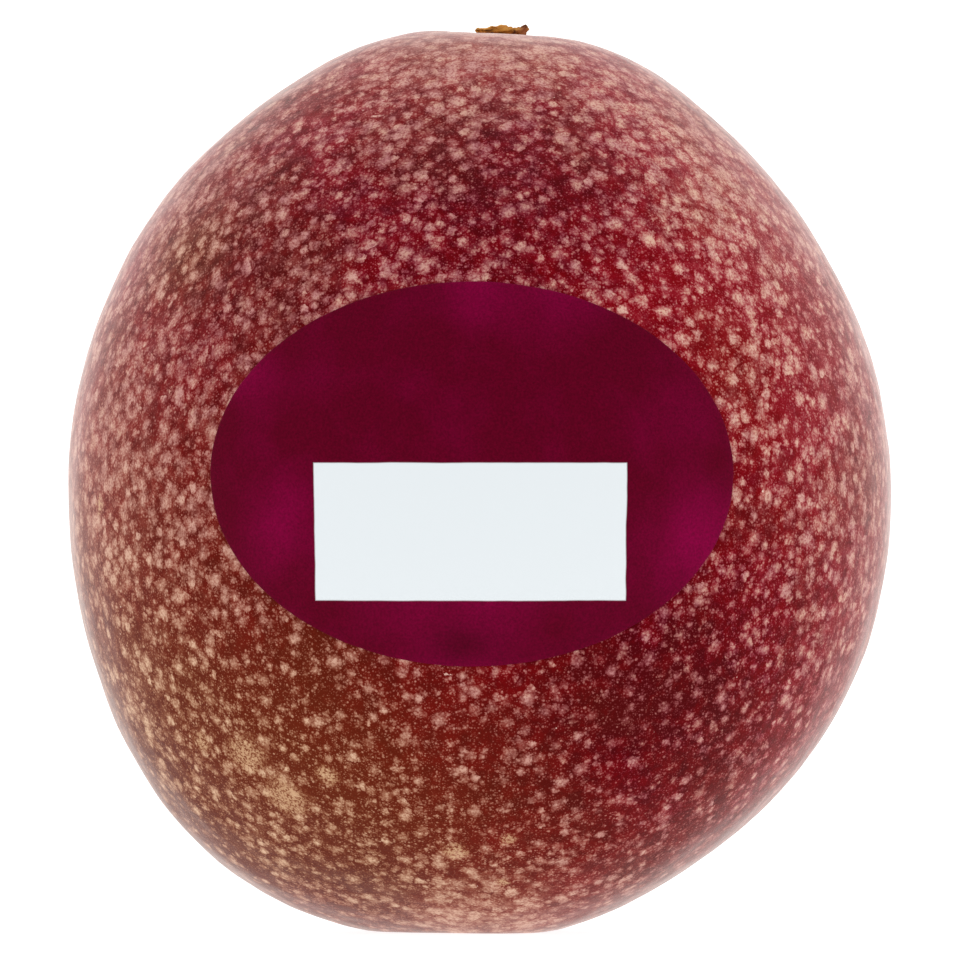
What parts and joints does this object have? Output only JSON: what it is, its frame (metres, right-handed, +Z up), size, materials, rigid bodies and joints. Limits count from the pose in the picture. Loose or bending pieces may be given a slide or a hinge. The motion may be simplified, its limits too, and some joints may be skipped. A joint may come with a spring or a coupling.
{
  "type": "passion fruit",
  "caption": "Whole purple passion fruit, a slightly tall, softly lobed ball with speckled rind, a dry stalk end on top and a plain oval sticker on the front.",
  "frame": {"origin": "on the resting surface, under the middle of the whole", "axes": "+Z up through the stem end, -Y the way the sticker faces, +X to the right as the sticker is looked at"},
  "size_m": [0.052, 0.0522, 0.0574],
  "materials": {
    "rind": "waxy satin rind, crimson with dense pale pink and tan speckles",
    "dry_stalk": "dry, torn, matte brown stalk end",
    "sticker_film": "satin plum film with a blank pale panel"
  },
  "bodies": {
    "root": {"fruit": "rind", "stem_stub": "dry_stalk", "sticker": "sticker_film"}
  },
  "joints": []
}
